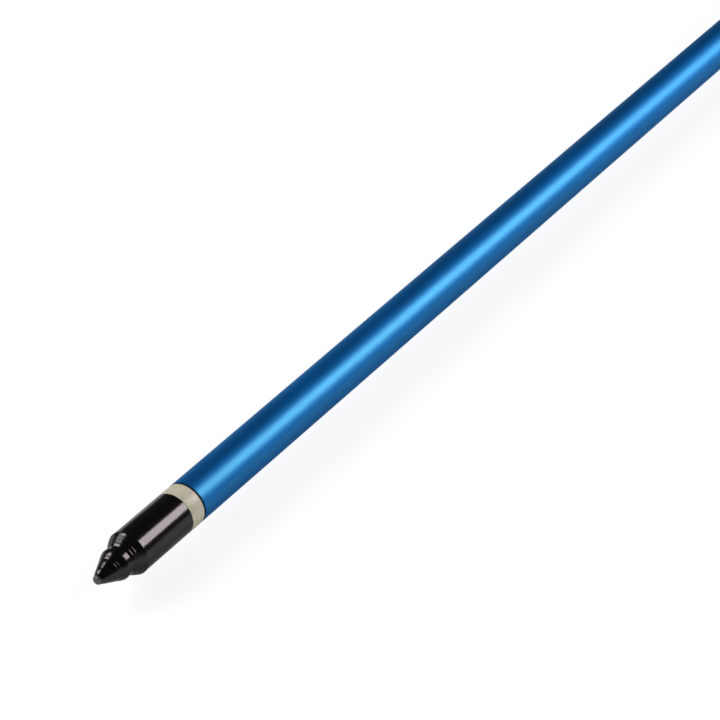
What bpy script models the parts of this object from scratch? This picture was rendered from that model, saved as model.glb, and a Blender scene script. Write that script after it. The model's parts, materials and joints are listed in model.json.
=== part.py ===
"""A telescopic boat hook, collapsed and locked, lying along X.

The pole's axis is the X axis. The origin is the centre of the butt point's blunt end, and +X runs from there
along the handle tube, through the twist lock, to the hook. The hook lies flat in the XY plane and opens
towards +Y.
Every dimension below is in millimetres; the model is built in metres.
"""

import math

import bmesh
import bpy
from mathutils import Matrix, Vector

MM = 0.001

# Tubes: a 25 x 1 handle and a 21 x 1 extension.
TUBE_RADIUS = 12.5
TUBE_WALL = 1.0
HANDLE_LENGTH = 780.0
INNER_RADIUS = 10.5
INNER_WALL = 1.0

# Gaps: beside a pressed or glued piece, between two end faces, and round a piece that turns or slides.
PRESS_GAP = 0.1
FACE_GAP = 0.05
RUNNING_GAP = 0.12

# Butt point: a blunt cone whose slope changes a little at each (x, radius) of its outline, then a land,
# a neck, a ringed shoulder that bulges slightly, a bead and the body.
POINT_LENGTH = 66.3
POINT_FACE_RADIUS = 1.6
CONE = (
    (0.45, 2.36),
    (2.6, 3.15),
    (4.3, 4.08),
    (5.8, 4.65),
    (9.2, 6.18),
    (10.8, 6.74),
    (12.5, 7.64),
    (14.4, 8.55),
    (15.9, 9.05),
)
CONE_GROOVES = (11.0, 12.5)
CONE_GROOVE_DEPTH = 0.18
CONE_GROOVE_WIDTH = 0.5
LAND_END = 17.0
LAND_RADIUS = 9.05
NECK_RADIUS = 8.75
NECK_END = 19.8
SHOULDER = ((20.1, 8.8), (24.5, 11.38), (27.05, 12.64))
RINGS_START = 21.0
RING_PITCH = 0.92
SHOULDER_RINGS = 5
RING_DEPTH = 0.22
BEAD_X = 27.05
BEAD_WIDTH = 0.7
BEAD_RADIUS = 12.64
BEAD_TAPER = 1.7
BODY_RADIUS = 12.48
SPIGOT_RADIUS = 7.0
SPIGOT_LENGTH = 26.0
BARBS = 3
BARB_HEIGHT = 0.5

# Butt insert: a flange as wide as the tube, and a plug inside the tube.
FLANGE_LENGTH = 10.0
GASKET_THICKNESS = 1.1
GASKET_RADIUS = 12.15
PLUG_LENGTH = 40.0
PLUG_WALL_X = 30.0
PLUG_WALL = 6.0
PLUG_CORE_RADIUS = 7.6
O_RING_SECTION = 1.1

# Rolled grooves in the handle tube: one stops the extension, one holds the lock body.
GROOVE_DEPTH = 0.75
GROOVE_FLAT = 2.0
GROOVE_RAMP = 1.5
STOP_GROOVE_BACK = 100.0
LOCK_GROOVE_BACK = 22.0

# Twist lock, measured from the mouth of the handle tube.
LOCK_BACK = 42.0
LOCK_COLLAR_RADIUS = 15.2
LOCK_STOP_BACK = 20.0
LOCK_STOP_WIDTH = 3.0
LOCK_STOP_RADIUS = 17.6
THREAD_BACK = 10.0
THREAD_FRONT = 4.0
THREAD_LEAD = 5.0
THREAD_DEPTH = 1.0
THREAD_GAP = 0.4
THREAD_STEPS = 4
COLLET_RADIUS = 14.4
COLLET_CONE_START = 14.0
COLLET_END = 30.0
COLLET_TIP_RADIUS = 12.9
COLLET_SLOTS = 4
SLOT_WIDTH = 1.6
SLOT_START = 7.0
WEDGE_START = 17.0
WEDGE_END = 31.5
WEDGE_RADIUS = 16.3
NUT_BACK = 15.5
STOP_RING_BACK = 14.6
STOP_RING_WIDTH = 1.2
STOP_RING_INNER = 15.5
STOP_RING_OUTER = 17.3
NUT_FRONT = 38.0
NUT_RADIUS = 19.0
NUT_BORE = 16.6
NUT_FLUTES = 10
NUT_FLUTE_DEPTH = 1.1
NUT_MOUTH_RADIUS = 12.2
WIPER_THICKNESS = 2.0
WIPER_GROOVE_RADIUS = 13.6

# Foot of the extension tube, measured from the end of the butt insert.
BUFFER_CLEARANCE = 1.0
BUFFER_THICKNESS = 4.0
BUFFER_RADIUS = 8.5
BUFFER_STEM_RADIUS = 2.4
BUFFER_STEM_LENGTH = 8.0
PLUG_FLANGE = 2.6
PLUG_FLANGE_RADIUS = 10.3
JOURNAL_RADIUS = 8.6
BUSH_LENGTH = 25.0
BUSH_RADIUS = 11.38
FOOT_SPIGOT = 30.0
FOOT_PIN_RADIUS = 1.5
FOOT_PIN_X = 16.0
FOAM_RADIUS = 9.2
FOAM_LENGTH = 60.0
FOAM_GAP = 5.0

# Hook head, measured from the back of its socket.
HEAD_GAP = 16.0
SOCKET_RADIUS = 14.0
SOCKET_LENGTH = 42.0
SOCKET_DEPTH = 40.0
SOCKET_TAPER_END = 66.0
SOCKET_TIP_RADIUS = 8.0
RIVET_X = 21.0
RIVET_PAD = 24.0
RIVET_PAD_HEIGHT = 13.0
RIVET_RADIUS = 1.6
RIVET_HEAD_RADIUS = 3.3
RIVET_HEAD_HEIGHT = 1.3
RIVET_BULB_RADIUS = 2.2
SEAL_THICKNESS = 0.8
PLATE_HALF_THICKNESS = 8.0
PLATE_START = 46.0
PLATE_EDGE = 3.2
SHANK_HALF_WIDTH = 8.5
POCKET_START = 78.0
POCKET_END = 122.0
POCKET_HALF_WIDTH = 3.4
POCKET_DEPTH = 1.6
NOSE_X = 146.0
BEND_X = 104.0
BEND_INNER = 14.0
BEND_OUTER = 29.5
BEND_FILLET = 6.0
HOOK_END_X = 74.0
HOOK_FLARE = 1.5
HOOK_TIP_RADIUS = 6.0

SEGMENTS = 40
SMALL_SEGMENTS = 20
SHARP_ANGLE = math.radians(32)

# Stations along X that follow from the sizes above.
FLANGE_END = POINT_LENGTH + FLANGE_LENGTH
HANDLE_START = FLANGE_END + GASKET_THICKNESS + 2 * FACE_GAP
MOUTH = HANDLE_START + HANDLE_LENGTH
INSERT_END = FLANGE_END + PLUG_LENGTH
BUFFER_START = INSERT_END + BUFFER_CLEARANCE
FOOT_START = BUFFER_START + BUFFER_THICKNESS + FACE_GAP
BUSH_START = FOOT_START + PLUG_FLANGE + RUNNING_GAP
INNER_START = BUSH_START + BUSH_LENGTH + RUNNING_GAP
HEAD_START = MOUTH + NUT_FRONT + HEAD_GAP
INNER_END = HEAD_START + SOCKET_DEPTH - SEAL_THICKNESS - 2 * FACE_GAP
BEND_Y = SHANK_HALF_WIDTH + BEND_INNER
INNER_BORE = INNER_RADIUS - INNER_WALL
TUBE_BORE = TUBE_RADIUS - TUBE_WALL


# ---------------------------------------------------------------- materials


def material(name, colour, roughness, metallic=0.0):
    made = bpy.data.materials.new(name)
    made.use_nodes = True
    shader = made.node_tree.nodes["Principled BSDF"]
    shader.inputs["Base Color"].default_value = (*colour, 1.0)
    shader.inputs["Roughness"].default_value = roughness
    shader.inputs["Metallic"].default_value = metallic
    return made


def make_materials():
    return {
        "blue_anodised": material("blue_anodised", (0.01, 0.17, 0.50), 0.32, 1.0),
        "clear_anodised": material("clear_anodised", (0.62, 0.63, 0.65), 0.35, 1.0),
        "gloss_black": material("gloss_black", (0.012, 0.011, 0.012), 0.12),
        "natural_nylon": material("natural_nylon", (0.56, 0.53, 0.42), 0.45),
        "black_nylon": material("black_nylon", (0.02, 0.02, 0.022), 0.5),
        "rubber": material("rubber", (0.015, 0.015, 0.015), 0.7),
        "stainless": material("stainless", (0.58, 0.58, 0.57), 0.3, 1.0),
        "foam": material("foam", (0.75, 0.76, 0.74), 0.9),
    }


# ---------------------------------------------------------------- shape tools


def arc(x, y, radius, start, end, steps):
    """Points on a circular arc about (x, y), from start to end in degrees."""
    points = []
    for i in range(steps + 1):
        angle = math.radians(start + (end - start) * i / steps)
        points.append((x + radius * math.cos(angle), y + radius * math.sin(angle)))
    return points


def offset(profile, gap):
    """A profile moved away from the axis, for the wall of a bore round it."""
    return [(x, radius + gap) for x, radius in profile]


def lathe(profile, segments=SEGMENTS):
    """Spins (x, radius) points round the X axis. An open profile starts and ends on the axis."""
    mesh = bmesh.new()
    points = [mesh.verts.new((x * MM, 0.0, radius * MM)) for x, radius in profile]
    edges = [mesh.edges.new(pair) for pair in zip(points, points[1:])]
    if profile[0][1] > 0:
        edges.append(mesh.edges.new((points[-1], points[0])))
    bmesh.ops.spin(
        mesh,
        geom=points + edges,
        cent=(0, 0, 0),
        axis=(1, 0, 0),
        angle=2 * math.pi,
        steps=segments,
        use_merge=True,
    )
    bmesh.ops.remove_doubles(mesh, verts=mesh.verts, dist=1e-7)
    bmesh.ops.recalc_face_normals(mesh, faces=mesh.faces)
    return mesh


def add_object(name, mesh, finish):
    data = bpy.data.meshes.new(name)
    mesh.to_mesh(data)
    mesh.free()
    data.shade_smooth()
    data.set_sharp_from_angle(angle=SHARP_ANGLE)
    data.materials.append(finish)
    made = bpy.data.objects.new(name, data)
    bpy.context.scene.collection.objects.link(made)
    return made


def as_helper(tool):
    tool.hide_render = True
    tool.display_type = "WIRE"
    return tool


def combine(target, tool, operation):
    change = target.modifiers.new(tool.name, "BOOLEAN")
    change.solver = "EXACT"
    change.operation = operation
    change.object = as_helper(tool)


def box(name, centre, size):
    mesh = bmesh.new()
    bmesh.ops.create_cube(mesh, size=1.0)
    bmesh.ops.scale(mesh, vec=Vector(size) * MM, verts=mesh.verts)
    bmesh.ops.translate(mesh, vec=Vector(centre) * MM, verts=mesh.verts)
    return add_object(name, mesh, None)


def upright_rod(name, x, radius, low, high, segments=SMALL_SEGMENTS):
    """A cylinder along Z that crosses the pole's axis at x."""
    mesh = bmesh.new()
    place = Matrix.Translation(Vector((x, 0.0, (low + high) / 2)) * MM)
    bmesh.ops.create_cone(
        mesh,
        cap_ends=True,
        segments=segments,
        radius1=radius * MM,
        radius2=radius * MM,
        depth=(high - low) * MM,
        matrix=place,
    )
    return add_object(name, mesh, None)


def thread_height(x, angle):
    """How far the thread stands above its root, 0 to 1: a rounded right-hand thread of one start."""
    return 0.5 + 0.5 * math.cos(2 * math.pi * x / THREAD_LEAD - angle)


def roll_thread(mesh, root, start, end, run_out):
    """Moves the rings of vertices at the root radius out to the thread, fading over run_out at each end."""
    for point in mesh.verts:
        x = point.co.x / MM
        radius = math.hypot(point.co.y, point.co.z) / MM
        if abs(radius - root) > 0.01 or not start < x < end:
            continue
        angle = math.atan2(point.co.z, point.co.y)
        share = min(1.0, (x - start) / run_out, (end - x) / run_out)
        grown = (root + THREAD_DEPTH * share * thread_height(x - MOUTH, angle)) / radius
        point.co.y *= grown
        point.co.z *= grown


def thread_rings(start, end, radius):
    """Profile points close enough together to carry the thread."""
    count = round((end - start) / THREAD_LEAD * THREAD_STEPS)
    return [(start + (end - start) * i / count, radius) for i in range(count + 1)]


# ---------------------------------------------------------------- butt end


def barbs(start):
    """The snap barbs on the butt point's spigot: a slow ramp up and a short one down, three times."""
    step = (SPIGOT_LENGTH - 4.0) / BARBS
    points = [(start, SPIGOT_RADIUS)]
    for i in range(BARBS):
        foot = start + 2.0 + i * step
        points.append((foot, SPIGOT_RADIUS))
        points.append((foot + 0.8, SPIGOT_RADIUS + BARB_HEIGHT))
        points.append((foot + step - 1.0, SPIGOT_RADIUS))
    return points


def radius_on(outline, x):
    """Radius at x on a line through (x, radius) points."""
    for (x_start, r_start), (x_end, r_end) in zip(outline, outline[1:]):
        if x <= x_end:
            return r_start + (r_end - r_start) * (x - x_start) / (x_end - x_start)
    return outline[-1][1]


def grooved_cone():
    """The blunt cone's outline, with fine grooves near its base."""
    points = [point for point in CONE if point[0] not in CONE_GROOVES]
    for x in CONE_GROOVES:
        for step, depth in ((-0.5, 0.0), (0.0, CONE_GROOVE_DEPTH), (0.5, 0.0)):
            place = x + step * CONE_GROOVE_WIDTH
            points.append((place, radius_on(CONE, place) - depth))
    return sorted(points)


def ringed_shoulder():
    """The shoulder's outline from the neck to the bead, with rounded rings cut into its narrower part."""
    points = [SHOULDER[0]]
    for i in range(SHOULDER_RINGS * 4 + 1):
        x = RINGS_START + RING_PITCH * i / 4
        wave = math.cos(math.pi * i / 2)
        points.append((x, radius_on(SHOULDER, x) + RING_DEPTH * (wave - 1.0) / 2))
    return points + [SHOULDER[-1]]


def build_butt_point(finish):
    spigot_end = POINT_LENGTH + SPIGOT_LENGTH
    profile = [(0.0, 0.0), (0.0, POINT_FACE_RADIUS)] + grooved_cone()
    profile += [(LAND_END, LAND_RADIUS), (LAND_END + 0.3, NECK_RADIUS)]
    profile += [(NECK_END, NECK_RADIUS)]
    profile += ringed_shoulder()
    profile += [(BEAD_X + BEAD_WIDTH, BEAD_RADIUS), (BEAD_X + BEAD_WIDTH + BEAD_TAPER, BODY_RADIUS)]
    profile += [(POINT_LENGTH, BODY_RADIUS)]
    profile += barbs(POINT_LENGTH)
    profile += [(spigot_end - 1.0, SPIGOT_RADIUS), (spigot_end, SPIGOT_RADIUS - 1.0), (spigot_end, 0.0)]
    return add_object("butt_point", lathe(profile), finish)


def o_ring_seat():
    """Where the O-ring sits on the insert's plug: (start, end, floor radius)."""
    middle = FLANGE_END + 0.45 * PLUG_LENGTH
    half = O_RING_SECTION + 0.2
    plug_radius = TUBE_BORE - PRESS_GAP
    return middle - half, middle + half, plug_radius - 2 * O_RING_SECTION + 0.1


def build_butt_insert(finish):
    plug_radius = TUBE_BORE - PRESS_GAP
    blind = FLANGE_END + PLUG_WALL_X - PLUG_WALL
    seat_start, seat_end, seat_floor = o_ring_seat()
    bore = offset(barbs(POINT_LENGTH + FACE_GAP), RUNNING_GAP)
    bore[0] = (POINT_LENGTH + FACE_GAP, bore[0][1])
    profile = [(blind, 0.0), (blind, SPIGOT_RADIUS + RUNNING_GAP)]
    profile += list(reversed(bore))
    profile += [(POINT_LENGTH + FACE_GAP, TUBE_RADIUS - 0.15), (POINT_LENGTH + 0.2, TUBE_RADIUS)]
    profile += [(FLANGE_END - 0.15, TUBE_RADIUS), (FLANGE_END, TUBE_RADIUS - 0.15)]
    profile += [(FLANGE_END, plug_radius), (seat_start, plug_radius), (seat_start, seat_floor)]
    profile += [(seat_end, seat_floor), (seat_end, plug_radius)]
    profile += [(INSERT_END - 2.0, plug_radius), (INSERT_END, plug_radius - 1.2)]
    profile += [(INSERT_END, PLUG_CORE_RADIUS), (blind + PLUG_WALL, PLUG_CORE_RADIUS)]
    profile += [(blind + PLUG_WALL, 0.0)]
    return add_object("butt_insert", lathe(profile), finish)


def build_butt_gasket(finish):
    start = FLANGE_END + FACE_GAP
    end = start + GASKET_THICKNESS
    inner = TUBE_BORE + FACE_GAP
    profile = [(start, inner), (start, GASKET_RADIUS), (end, GASKET_RADIUS), (end, inner)]
    return add_object("butt_gasket", lathe(profile), finish)


def build_o_ring(name, start, end, floor, wall, finish):
    """An O-ring squeezed between a seat's floor and the bore round it."""
    inner = floor + FACE_GAP
    outer = wall - FACE_GAP
    height = (outer - inner) / 2
    middle = (start + end) / 2
    profile = arc(middle, inner + height, height, 0, 300, 5)
    return add_object(name, lathe(profile), finish)


# ---------------------------------------------------------------- tubes


def rolled_groove(start, radius):
    """Profile points of a rolled groove in a tube's wall, at the given surface radius."""
    low = radius - GROOVE_DEPTH
    flat = start + GROOVE_RAMP
    return [
        (start, radius),
        (flat, low),
        (flat + GROOVE_FLAT, low),
        (flat + GROOVE_FLAT + GROOVE_RAMP, radius),
    ]


def handle_wall(radius):
    """One side of the handle tube's wall, from the lock groove to the mouth."""
    return rolled_groove(MOUTH - LOCK_GROOVE_BACK, radius) + [(MOUTH, radius)]


def build_outer_tube(finish):
    inside = [(HANDLE_START, TUBE_BORE)] + rolled_groove(MOUTH - STOP_GROOVE_BACK, TUBE_BORE)
    inside += handle_wall(TUBE_BORE)
    outside = [(HANDLE_START, TUBE_RADIUS)] + rolled_groove(MOUTH - STOP_GROOVE_BACK, TUBE_RADIUS)
    outside += handle_wall(TUBE_RADIUS)
    return add_object("outer_tube", lathe(outside + list(reversed(inside))), finish)


def build_inner_tube(finish):
    profile = [(INNER_START, INNER_BORE), (INNER_START, INNER_RADIUS)]
    profile += [(INNER_END, INNER_RADIUS), (INNER_END, INNER_BORE)]
    tube = add_object("inner_tube", lathe(profile), finish)
    pin_x = INNER_START + FOOT_PIN_X
    reach = INNER_RADIUS + 2.0
    hole = FOOT_PIN_RADIUS + RUNNING_GAP
    combine(tube, upright_rod("cut_tube_pin", pin_x, hole, -reach, reach), "DIFFERENCE")
    hole = RIVET_RADIUS + RUNNING_GAP
    rivet_x = HEAD_START + RIVET_X
    combine(tube, upright_rod("cut_tube_rivet", rivet_x, hole, -reach, reach), "DIFFERENCE")
    return tube


# ---------------------------------------------------------------- twist lock


def build_lock_body(finish):
    grip_bore = INNER_RADIUS + RUNNING_GAP
    back = MOUTH - LOCK_BACK
    stop = MOUTH - LOCK_STOP_BACK
    thread_start = MOUTH - THREAD_BACK
    thread_end = MOUTH + THREAD_FRONT
    collet_end = MOUTH + COLLET_END
    bore = [(back, TUBE_RADIUS)] + handle_wall(TUBE_RADIUS)
    profile = offset(bore, PRESS_GAP)
    profile[-1] = (MOUTH + FACE_GAP, TUBE_RADIUS + PRESS_GAP)
    profile += [(MOUTH + FACE_GAP, grip_bore), (collet_end, grip_bore)]
    profile += [(collet_end, COLLET_TIP_RADIUS), (MOUTH + COLLET_CONE_START, COLLET_RADIUS)]
    profile += [(thread_end + 1.5, COLLET_RADIUS)]
    profile += list(reversed(thread_rings(thread_start, thread_end, LOCK_COLLAR_RADIUS)))
    profile += [(stop + LOCK_STOP_WIDTH, LOCK_COLLAR_RADIUS), (stop + LOCK_STOP_WIDTH, LOCK_STOP_RADIUS)]
    profile += [(stop + 0.8, LOCK_STOP_RADIUS), (stop, LOCK_STOP_RADIUS - 0.8)]
    profile += [(stop, LOCK_COLLAR_RADIUS), (back + 5.0, LOCK_COLLAR_RADIUS)]
    profile += [(back, TUBE_RADIUS + 1.0)]
    mesh = lathe(profile)
    roll_thread(mesh, LOCK_COLLAR_RADIUS, thread_start, thread_end, 2.0)
    body = add_object("lock_body", mesh, finish)
    length = COLLET_END - SLOT_START + 2.0
    middle = MOUTH + SLOT_START + length / 2
    across = 2 * COLLET_RADIUS + 4.0
    for i in range(COLLET_SLOTS // 2):
        slot = box(f"cut_slot_{i}", (middle, 0, 0), (length, across, SLOT_WIDTH))
        slot.rotation_euler.x = math.pi * (i + 0.5) / (COLLET_SLOTS // 2)
        combine(body, slot, "DIFFERENCE")
    return body


def collet_radius(x):
    """Outside radius of the closed collet's cone at x, measured from the mouth."""
    share = (x - COLLET_CONE_START) / (COLLET_END - COLLET_CONE_START)
    return COLLET_RADIUS + (COLLET_TIP_RADIUS - COLLET_RADIUS) * share


def build_wedge_ring(finish):
    start = MOUTH + WEDGE_START
    end = MOUTH + WEDGE_END
    cone_start = collet_radius(WEDGE_START) + RUNNING_GAP
    cone_end = collet_radius(WEDGE_END) + RUNNING_GAP
    profile = [(start, cone_start), (start, WEDGE_RADIUS - 0.6), (start + 0.6, WEDGE_RADIUS)]
    profile += [(end, WEDGE_RADIUS), (end, cone_end)]
    return add_object("wedge_ring", lathe(profile), finish)


def build_lock_nut(finish):
    root = LOCK_COLLAR_RADIUS + THREAD_GAP
    back = MOUTH - NUT_BACK
    front = MOUTH + NUT_FRONT
    ring_start = MOUTH - STOP_RING_BACK - FACE_GAP
    ring_end = ring_start + STOP_RING_WIDTH + 2 * FACE_GAP
    ring_floor = STOP_RING_OUTER + PRESS_GAP
    thread_start = MOUTH - THREAD_BACK + 1.0
    thread_end = MOUTH + THREAD_FRONT - 2.0
    wall = MOUTH + WEDGE_END + FACE_GAP
    groove_start = front - 1.2 - WIPER_THICKNESS
    groove_end = front - 1.2
    profile = [(back, NUT_BORE), (back, NUT_RADIUS - 1.2), (back + 1.2, NUT_RADIUS)]
    ribs_end = front - 8.0
    for i in range(9):
        profile.append((back + 3.0 + (ribs_end - back - 3.0) * i / 8, NUT_RADIUS))
    profile += [(front - 6.0, NUT_RADIUS - 0.6), (front - 1.5, NUT_RADIUS - 3.4), (front, NUT_RADIUS - 4.4)]
    profile += [(front, NUT_MOUTH_RADIUS), (groove_end, NUT_MOUTH_RADIUS)]
    profile += [(groove_end, WIPER_GROOVE_RADIUS), (groove_start, WIPER_GROOVE_RADIUS)]
    profile += [(groove_start, NUT_MOUTH_RADIUS), (wall, NUT_MOUTH_RADIUS), (wall, NUT_BORE)]
    profile += [(thread_end + 1.5, NUT_BORE)]
    profile += list(reversed(thread_rings(thread_start, thread_end, root)))
    profile += [(thread_start - 1.0, NUT_BORE), (ring_end, NUT_BORE), (ring_end, ring_floor)]
    profile += [(ring_start, ring_floor), (ring_start, NUT_BORE)]
    mesh = lathe(profile)
    roll_thread(mesh, root, thread_start - 0.01, thread_end + 0.01, 0.01)
    flute(mesh, back + 2.0, ribs_end + 0.5)
    return add_object("lock_nut", mesh, finish)


def flute(mesh, start, end):
    """Sinks finger flutes into the nut's outside between start and end."""
    for point in mesh.verts:
        x = point.co.x / MM
        radius = math.hypot(point.co.y, point.co.z) / MM
        if radius < NUT_RADIUS - 0.05 or not start < x < end:
            continue
        angle = math.atan2(point.co.z, point.co.y)
        ends = min(1.0, (x - start) / 6.0, (end - x) / 6.0)
        depth = NUT_FLUTE_DEPTH * ends * (0.5 - 0.5 * math.cos(NUT_FLUTES * angle))
        point.co.y *= (radius - depth) / radius
        point.co.z *= (radius - depth) / radius


def build_nut_stop_ring(finish):
    """The snap ring in the back of the nut, which meets the thread's run-out when the nut is fully open."""
    start = MOUTH - STOP_RING_BACK
    end = start + STOP_RING_WIDTH
    profile = [(start, STOP_RING_INNER), (start, STOP_RING_OUTER)]
    profile += [(end, STOP_RING_OUTER), (end, STOP_RING_INNER)]
    return add_object("nut_stop_ring", lathe(profile), finish)


def build_nut_wiper(finish):
    end = MOUTH + NUT_FRONT - 1.2 - FACE_GAP
    start = end - WIPER_THICKNESS + 2 * FACE_GAP
    lip = INNER_RADIUS + RUNNING_GAP
    profile = [(start, lip + 0.9), (start, WIPER_GROOVE_RADIUS - PRESS_GAP)]
    profile += [(end, WIPER_GROOVE_RADIUS - PRESS_GAP), (end, lip + 0.3), (end - 0.4, lip)]
    return add_object("nut_wiper", lathe(profile), finish)


# ---------------------------------------------------------------- foot of the extension


def foot_seat():
    """Where the O-ring sits on the end plug: (start, end, floor radius)."""
    start = INNER_START + 5.0
    spigot = INNER_BORE - PRESS_GAP
    return start, start + 2 * O_RING_SECTION + 0.4, spigot - 2 * O_RING_SECTION + 0.1


def build_end_plug(finish):
    spigot = INNER_BORE - PRESS_GAP
    seat_start, seat_end, seat_floor = foot_seat()
    end = INNER_START + FOOT_SPIGOT
    stem_hole = FOOT_START + BUFFER_STEM_LENGTH + 0.4
    stem_radius = BUFFER_STEM_RADIUS + PRESS_GAP
    profile = [(stem_hole, 0.0), (stem_hole, stem_radius), (FOOT_START, stem_radius)]
    profile += [(FOOT_START, PLUG_FLANGE_RADIUS), (FOOT_START + PLUG_FLANGE, PLUG_FLANGE_RADIUS)]
    profile += [(FOOT_START + PLUG_FLANGE, JOURNAL_RADIUS), (INNER_START - FACE_GAP, JOURNAL_RADIUS)]
    profile += [(INNER_START, spigot), (seat_start, spigot), (seat_start, seat_floor)]
    profile += [(seat_end, seat_floor), (seat_end, spigot)]
    profile += [(end - 1.5, spigot), (end, spigot - 1.2), (end, 0.0)]
    plug = add_object("end_plug", lathe(profile), finish)
    hole = FOOT_PIN_RADIUS + RUNNING_GAP
    pin_x = INNER_START + FOOT_PIN_X
    combine(plug, upright_rod("cut_plug_pin", pin_x, hole, -INNER_RADIUS, INNER_RADIUS), "DIFFERENCE")
    return plug


def build_plug_pin(finish):
    reach = INNER_RADIUS - 0.1
    pin = upright_rod("plug_pin", INNER_START + FOOT_PIN_X, FOOT_PIN_RADIUS, -reach, reach)
    pin.data.materials[0] = finish
    return pin


def build_guide_bush(finish):
    end = BUSH_START + BUSH_LENGTH
    inner = JOURNAL_RADIUS + RUNNING_GAP
    profile = [(BUSH_START, inner), (BUSH_START, BUSH_RADIUS - 0.6), (BUSH_START + 0.8, BUSH_RADIUS)]
    profile += [(end - 0.8, BUSH_RADIUS), (end, BUSH_RADIUS - 0.6), (end, inner)]
    return add_object("guide_bush", lathe(profile), finish)


def build_rubber_buffer(finish):
    end = BUFFER_START + BUFFER_THICKNESS
    profile = [(BUFFER_START, 0.0), (BUFFER_START, BUFFER_RADIUS - 1.0), (BUFFER_START + 1.0, BUFFER_RADIUS)]
    profile += [(end, BUFFER_RADIUS), (end, BUFFER_STEM_RADIUS)]
    profile += [(end + BUFFER_STEM_LENGTH, BUFFER_STEM_RADIUS), (end + BUFFER_STEM_LENGTH, 0.0)]
    return add_object("rubber_buffer", lathe(profile), finish)


def build_foam_plug(finish):
    end = HEAD_START - FOAM_GAP
    start = end - FOAM_LENGTH
    profile = [(start, 0.0), (start, FOAM_RADIUS), (end, FOAM_RADIUS), (end, 0.0)]
    return add_object("foam_plug", lathe(profile, segments=24), finish)


# ---------------------------------------------------------------- hook head


def hook_outline():
    """Plan of the flat part of the head, anticlockwise from the shank's back corner."""
    side = SHANK_HALF_WIDTH
    fillet_y = side + BEND_FILLET
    fillet_x = BEND_X + math.sqrt((BEND_OUTER + BEND_FILLET) ** 2 - (fillet_y - BEND_Y) ** 2)
    meet = math.degrees(math.atan2(fillet_y - BEND_Y, fillet_x - BEND_X))
    tip_x = HOOK_END_X
    tip_y = BEND_Y + (BEND_OUTER + BEND_INNER) / 2 + HOOK_FLARE
    points = [(PLATE_START, -side)]
    points += arc(NOSE_X, 0, side, -90, 90, 14)
    points += arc(fillet_x, fillet_y, BEND_FILLET, 270, 180 + meet, 6)
    points += arc(BEND_X, BEND_Y, BEND_OUTER, meet, 90, 14)[1:]
    points += arc(tip_x, tip_y, HOOK_TIP_RADIUS, 90, 270, 10)
    points += arc(BEND_X, BEND_Y, BEND_INNER, 90, -90, 12)
    points += [(PLATE_START, side)]
    return points


def build_pocket(name, side):
    """A tool for the round-ended recess in one flat of the shank."""
    half = POCKET_HALF_WIDTH
    plan = arc(POCKET_END, 0, half, -90, 90, 10) + arc(POCKET_START, 0, half, 90, 270, 10)
    floor = side * (PLATE_HALF_THICKNESS - POCKET_DEPTH)
    mesh = bmesh.new()
    points = [mesh.verts.new(((HEAD_START + x) * MM, y * MM, floor * MM)) for x, y in plan]
    face = mesh.faces.new(points)
    grown = bmesh.ops.extrude_face_region(mesh, geom=[face])["geom"]
    lifted = [item for item in grown if isinstance(item, bmesh.types.BMVert)]
    bmesh.ops.translate(mesh, vec=(0, 0, side * (POCKET_DEPTH + 2.0) * MM), verts=lifted)
    bmesh.ops.recalc_face_normals(mesh, faces=mesh.faces)
    return add_object(name, mesh, None)


def build_hook_plate():
    mesh = bmesh.new()
    low = -PLATE_HALF_THICKNESS
    points = [mesh.verts.new(((HEAD_START + x) * MM, y * MM, low * MM)) for x, y in hook_outline()]
    face = mesh.faces.new(points)
    grown = bmesh.ops.extrude_face_region(mesh, geom=[face])["geom"]
    lifted = [item for item in grown if isinstance(item, bmesh.types.BMVert)]
    bmesh.ops.translate(mesh, vec=(0, 0, -2 * low * MM), verts=lifted)
    bmesh.ops.recalc_face_normals(mesh, faces=mesh.faces)
    rims = [edge for edge in mesh.edges if abs(edge.verts[0].co.z - edge.verts[1].co.z) < 1e-6]
    bmesh.ops.bevel(
        mesh, geom=rims, offset=PLATE_EDGE * MM, offset_type="OFFSET", segments=3, profile=0.5, affect="EDGES"
    )
    return add_object("tool_hook_plate", mesh, None)


def build_hook_head(finish):
    start = HEAD_START
    bore = INNER_RADIUS + PRESS_GAP
    depth = start + SOCKET_DEPTH
    profile = [(depth, 0.0), (depth, bore), (start, bore), (start, SOCKET_RADIUS - 1.0)]
    profile += [(start + 1.0, SOCKET_RADIUS), (start + SOCKET_LENGTH, SOCKET_RADIUS)]
    for i in range(1, 7):
        share = i / 6
        fall = (1 - math.cos(math.pi * share)) / 2
        radius = SOCKET_RADIUS + (SOCKET_TIP_RADIUS - SOCKET_RADIUS) * fall
        profile.append((start + SOCKET_LENGTH + (SOCKET_TAPER_END - SOCKET_LENGTH) * share, radius))
    plug_end = start + SOCKET_TAPER_END + 3.0
    profile += [(plug_end, SOCKET_TIP_RADIUS - 3.0), (plug_end, 0.0)]
    head = add_object("hook_head", lathe(profile), finish)
    combine(head, build_hook_plate(), "UNION")
    pad_size = (RIVET_PAD, 2 * SOCKET_RADIUS, 4.0)
    for side, name in ((1, "upper"), (-1, "lower")):
        pad_z = side * (RIVET_PAD_HEIGHT + 2.0)
        combine(head, box(f"cut_pad_{name}", (start + RIVET_X, 0, pad_z), pad_size), "DIFFERENCE")
        combine(head, build_pocket(f"cut_pocket_{name}", side), "DIFFERENCE")
    hole = RIVET_RADIUS + RUNNING_GAP
    reach = SOCKET_RADIUS + 2.0
    combine(head, upright_rod("cut_head_rivet", start + RIVET_X, hole, -reach, reach), "DIFFERENCE")
    return head


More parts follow.
